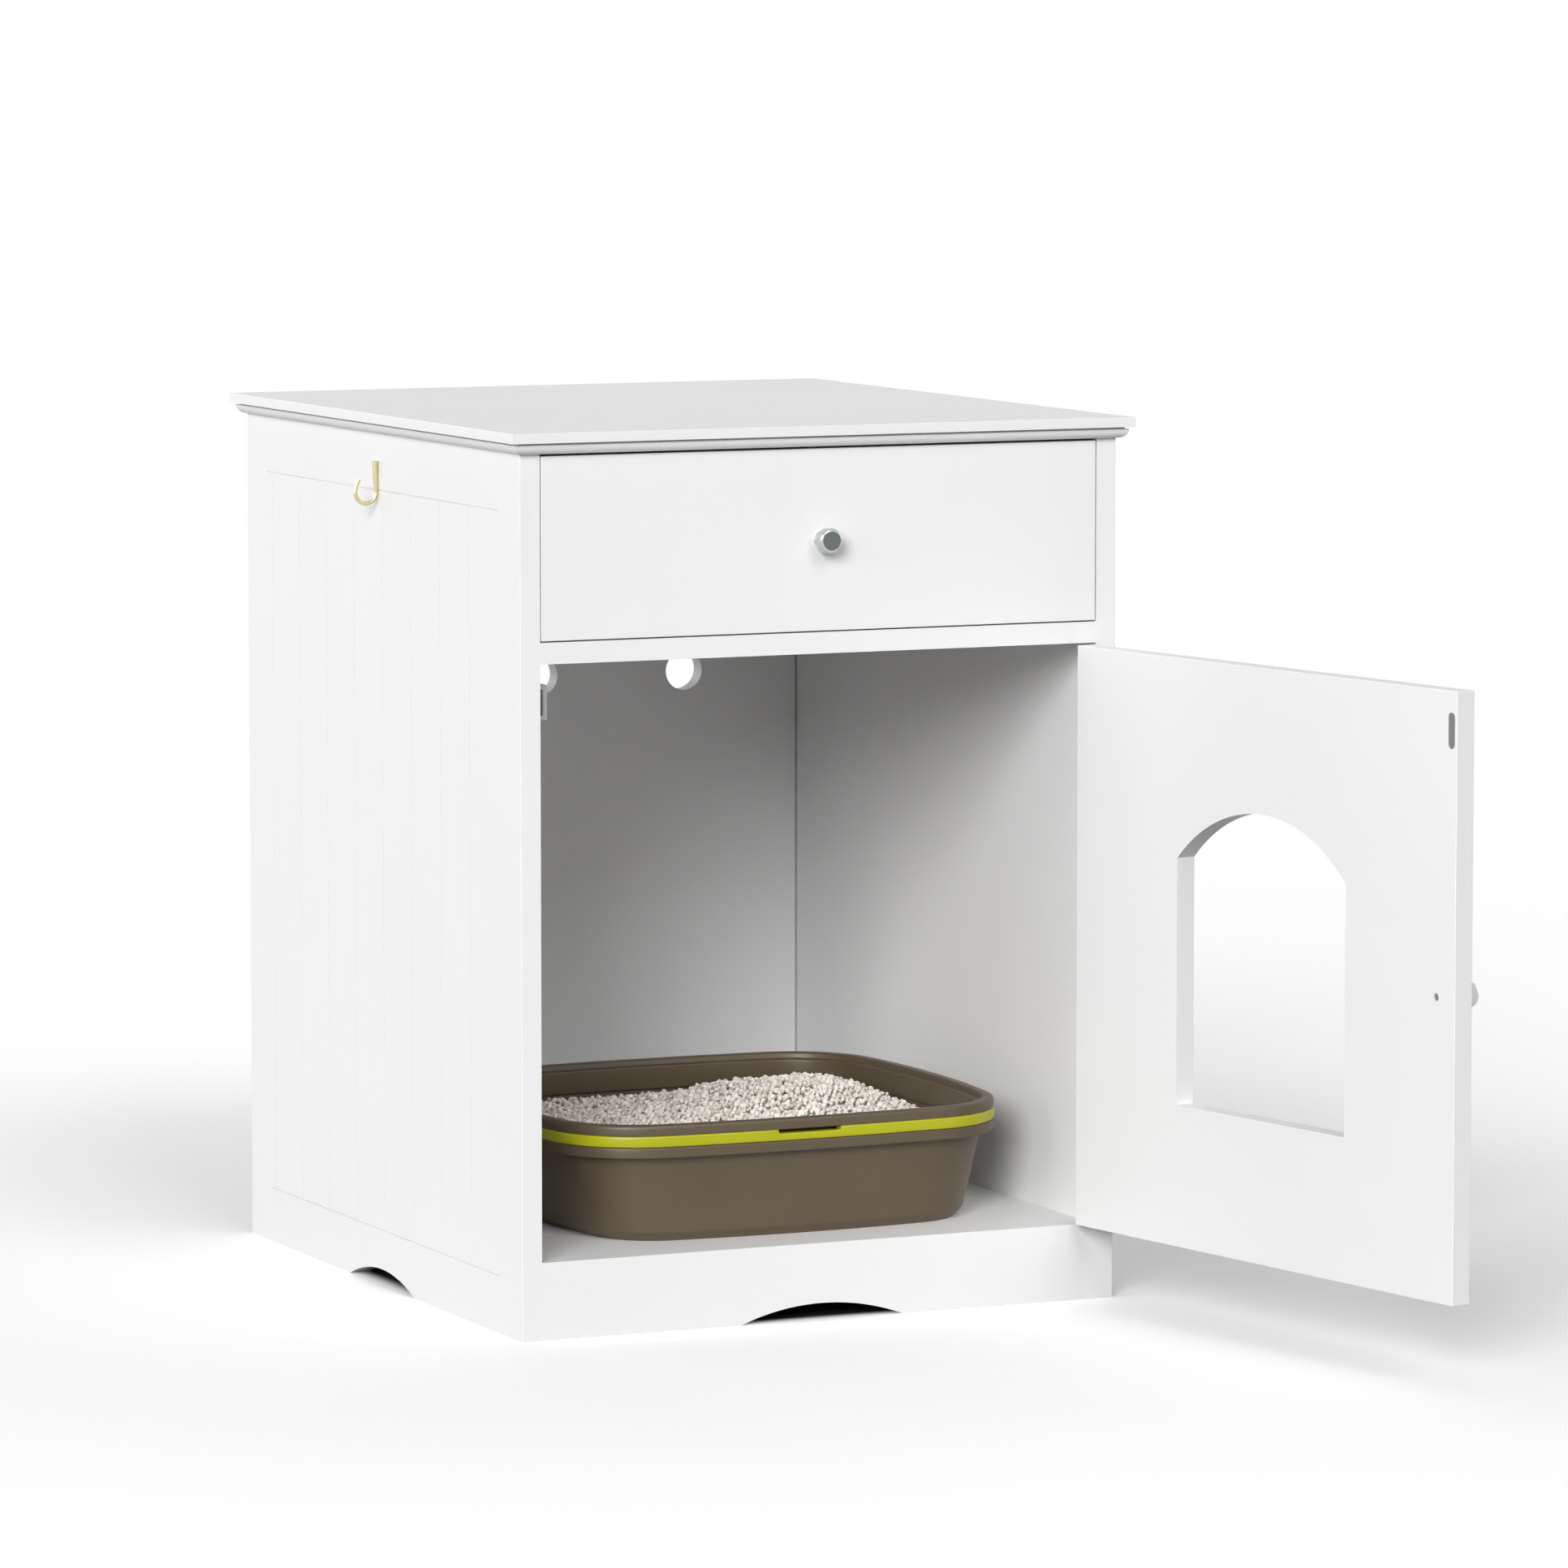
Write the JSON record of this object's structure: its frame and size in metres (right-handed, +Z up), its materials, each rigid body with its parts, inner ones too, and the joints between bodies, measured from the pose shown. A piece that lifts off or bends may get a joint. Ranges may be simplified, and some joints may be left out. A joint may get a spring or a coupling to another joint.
{
  "type": "litter box enclosure",
  "caption": "White litter box enclosure: a cabinet with a drawer, a hinged door with an arched cat doorway, a vented back, a side hook and a removable litter tray.",
  "frame": {"origin": "on the floor, under the middle of the carcass's footprint", "axes": "+X to the right seen from the front, +Y from the front to the back, +Z up; metres"},
  "size_m": [0.5482, 0.9678, 0.635],
  "materials": {
    "white_board": "white satin lacquer",
    "hardboard": "white faced hardboard",
    "beech": "bare beech",
    "chrome": "polished chrome",
    "brass": "pale polished brass",
    "plain_steel": "zinc plated",
    "cast_zinc": "cast zinc",
    "white_enamel_steel": "white enamel",
    "grey_plastic": "matte grey",
    "ferrite": "bare ferrite",
    "nylon": "natural nylon",
    "taupe_plastic": "satin taupe",
    "lime_plastic": "glossy lime",
    "litter_granules": "loose pale clay granules"
  },
  "bodies": {
    "carcass": {"top_panel": "white_board", "left_side_panel": "white_board", "right_side_panel": "white_board", "back_panel": "white_board", "floor_panel": "white_board", "front_apron": "white_board", "drawer_shelf": "white_board", "cam_bolts": "plain_steel", "cam_locks": "cast_zinc", "wood_dowels": "beech", "side_hook": "brass", "hook_screw": "plain_steel", "catch_body": "grey_plastic", "catch_magnet": "ferrite", "catch_pole_plates": "plain_steel", "catch_screws": "plain_steel", "hinge_cabinet_leaves": "plain_steel", "hinge_pins": "plain_steel", "hinge_cabinet_screws": "plain_steel", "left_cabinet_runner": "white_enamel_steel", "right_cabinet_runner": "white_enamel_steel", "cabinet_runner_screws": "plain_steel"},
    "door": {"door_panel": "white_board", "door_knob": "chrome", "door_knob_screw": "plain_steel", "strike_plate": "plain_steel", "strike_screws": "plain_steel", "hinge_door_leaves": "plain_steel", "hinge_door_screws": "plain_steel"},
    "drawer": {"drawer_front": "white_board", "drawer_left_side": "white_board", "drawer_right_side": "white_board", "drawer_back": "white_board", "drawer_bottom": "hardboard", "drawer_knob": "chrome", "drawer_knob_screw": "plain_steel", "left_drawer_runner": "white_enamel_steel", "right_drawer_runner": "white_enamel_steel", "drawer_runner_screws": "plain_steel", "drawer_cam_bolts": "plain_steel", "drawer_cam_locks": "cast_zinc", "drawer_dowels": "beech", "drawer_screws": "plain_steel"},
    "front_left_wheel": {"front_left_roller": "nylon"},
    "front_right_wheel": {"front_right_roller": "nylon"},
    "rear_left_wheel": {"rear_left_roller": "nylon"},
    "rear_right_wheel": {"rear_right_roller": "nylon"},
    "tray": {"litter_pan": "taupe_plastic", "litter": "litter_granules"},
    "tray_cover": {"tray_rim": "taupe_plastic", "tray_band": "lime_plastic"}
  },
  "joints": [
    {"name": "door_hinge", "type": "hinge", "parent": "carcass", "child": "door", "pos_m": [0.2143, -0.268, 0.2645], "axis": [0, 0, 1], "range_deg": [-100, 80]},
    {"name": "drawer_slide", "type": "slide", "parent": "carcass", "child": "drawer", "axis": [0, -1, 0], "range_m": [0, 0.3]},
    {"name": "tray_slide", "type": "slide", "parent": "carcass", "child": "tray", "axis": [0, 1, 0], "range_m": [-0.01, 0.15]},
    {"name": "cover_lift", "type": "slide", "parent": "tray", "child": "tray_cover", "axis": [0, 0, 1], "range_m": [0, 0.06]},
    {"name": "front_left_roll", "type": "hinge", "parent": "carcass", "child": "front_left_wheel", "pos_m": [-0.21015, -0.234, 0.5015], "axis": [1, 0, 0], "continuous": true},
    {"name": "front_right_roll", "type": "hinge", "parent": "carcass", "child": "front_right_wheel", "pos_m": [0.21015, -0.234, 0.5015], "axis": [1, 0, 0], "continuous": true},
    {"name": "rear_left_roll", "type": "hinge", "parent": "drawer", "child": "rear_left_wheel", "pos_m": [-0.20735, 0.176, 0.5015], "axis": [1, 0, 0], "continuous": true},
    {"name": "rear_right_roll", "type": "hinge", "parent": "drawer", "child": "rear_right_wheel", "pos_m": [0.20735, 0.176, 0.5015], "axis": [1, 0, 0], "continuous": true}
  ],
  "couplings": [
    {"joint": "front_left_roll", "follows": "drawer_slide", "rad_per_m": 111.11},
    {"joint": "front_right_roll", "follows": "drawer_slide", "rad_per_m": 111.11},
    {"joint": "rear_left_roll", "follows": "drawer_slide", "rad_per_m": 111.11},
    {"joint": "rear_right_roll", "follows": "drawer_slide", "rad_per_m": 111.11}
  ]
}
